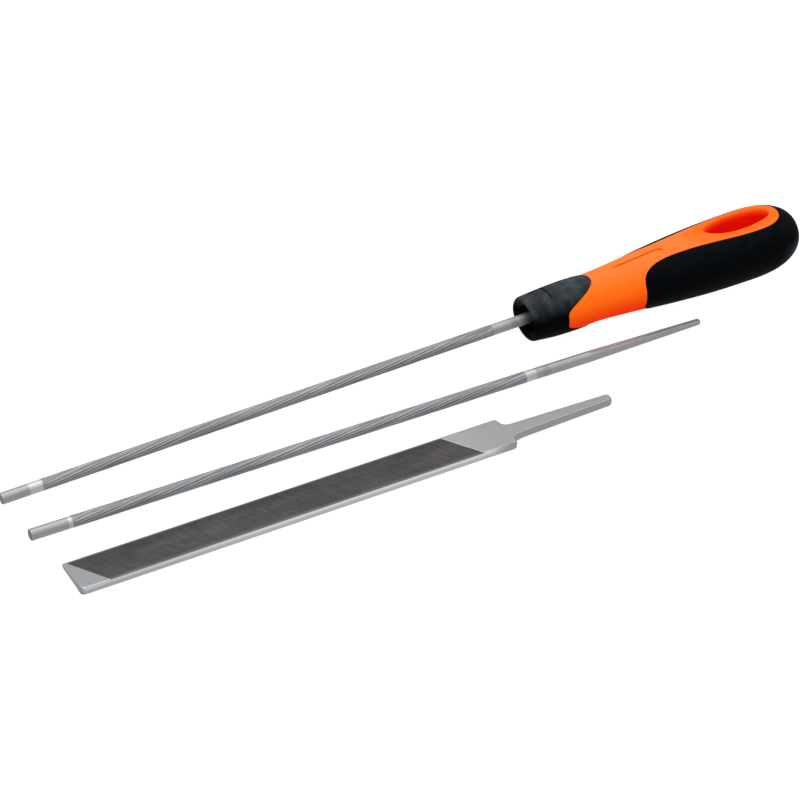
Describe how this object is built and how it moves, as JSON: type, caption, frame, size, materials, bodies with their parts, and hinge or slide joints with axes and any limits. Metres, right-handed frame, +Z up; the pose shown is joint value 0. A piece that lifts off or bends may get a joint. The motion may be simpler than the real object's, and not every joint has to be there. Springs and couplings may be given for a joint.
{
  "type": "chainsaw file set",
  "caption": "Chainsaw sharpening file set: a round file pressed into a soft-grip handle with a hanging hole, a bare spare round file and a flat depth-gauge file, laid side by side.",
  "frame": {"origin": "on the bench under the middle of the set's bounding box", "axes": "+X along the tools from the file tips to the handle's butt, +Y from the flat file to the handled file, +Z up"},
  "size_m": [0.2946, 0.0662, 0.0237],
  "materials": {
    "orange_plastic": "satin moulded",
    "black_rubber": "fine moulded grain",
    "round_file_steel": "bright ends, grey between the teeth",
    "flat_file_steel": "bright heel, dark cut faces"
  },
  "bodies": {
    "flat_file": {"flat_file": "flat_file_steel"},
    "handled_file": {"round_file": "round_file_steel"},
    "handle": {"handle_core": "orange_plastic", "front_collar": "black_rubber", "rear_grip": "black_rubber"},
    "spare_file": {"spare_round_file": "round_file_steel"}
  },
  "joints": [
    {"name": "handled_file_lift", "type": "slide", "parent": "flat_file", "child": "handled_file", "axis": [0, 0, 1], "range_m": [0, 0.08]},
    {"name": "handle_pull_off", "type": "slide", "parent": "handled_file", "child": "handle", "axis": [0.9992, 0, 0.0398], "range_m": [0, 0.065]},
    {"name": "spare_file_lift", "type": "slide", "parent": "flat_file", "child": "spare_file", "axis": [0, 0, 1], "range_m": [0, 0.06]}
  ]
}
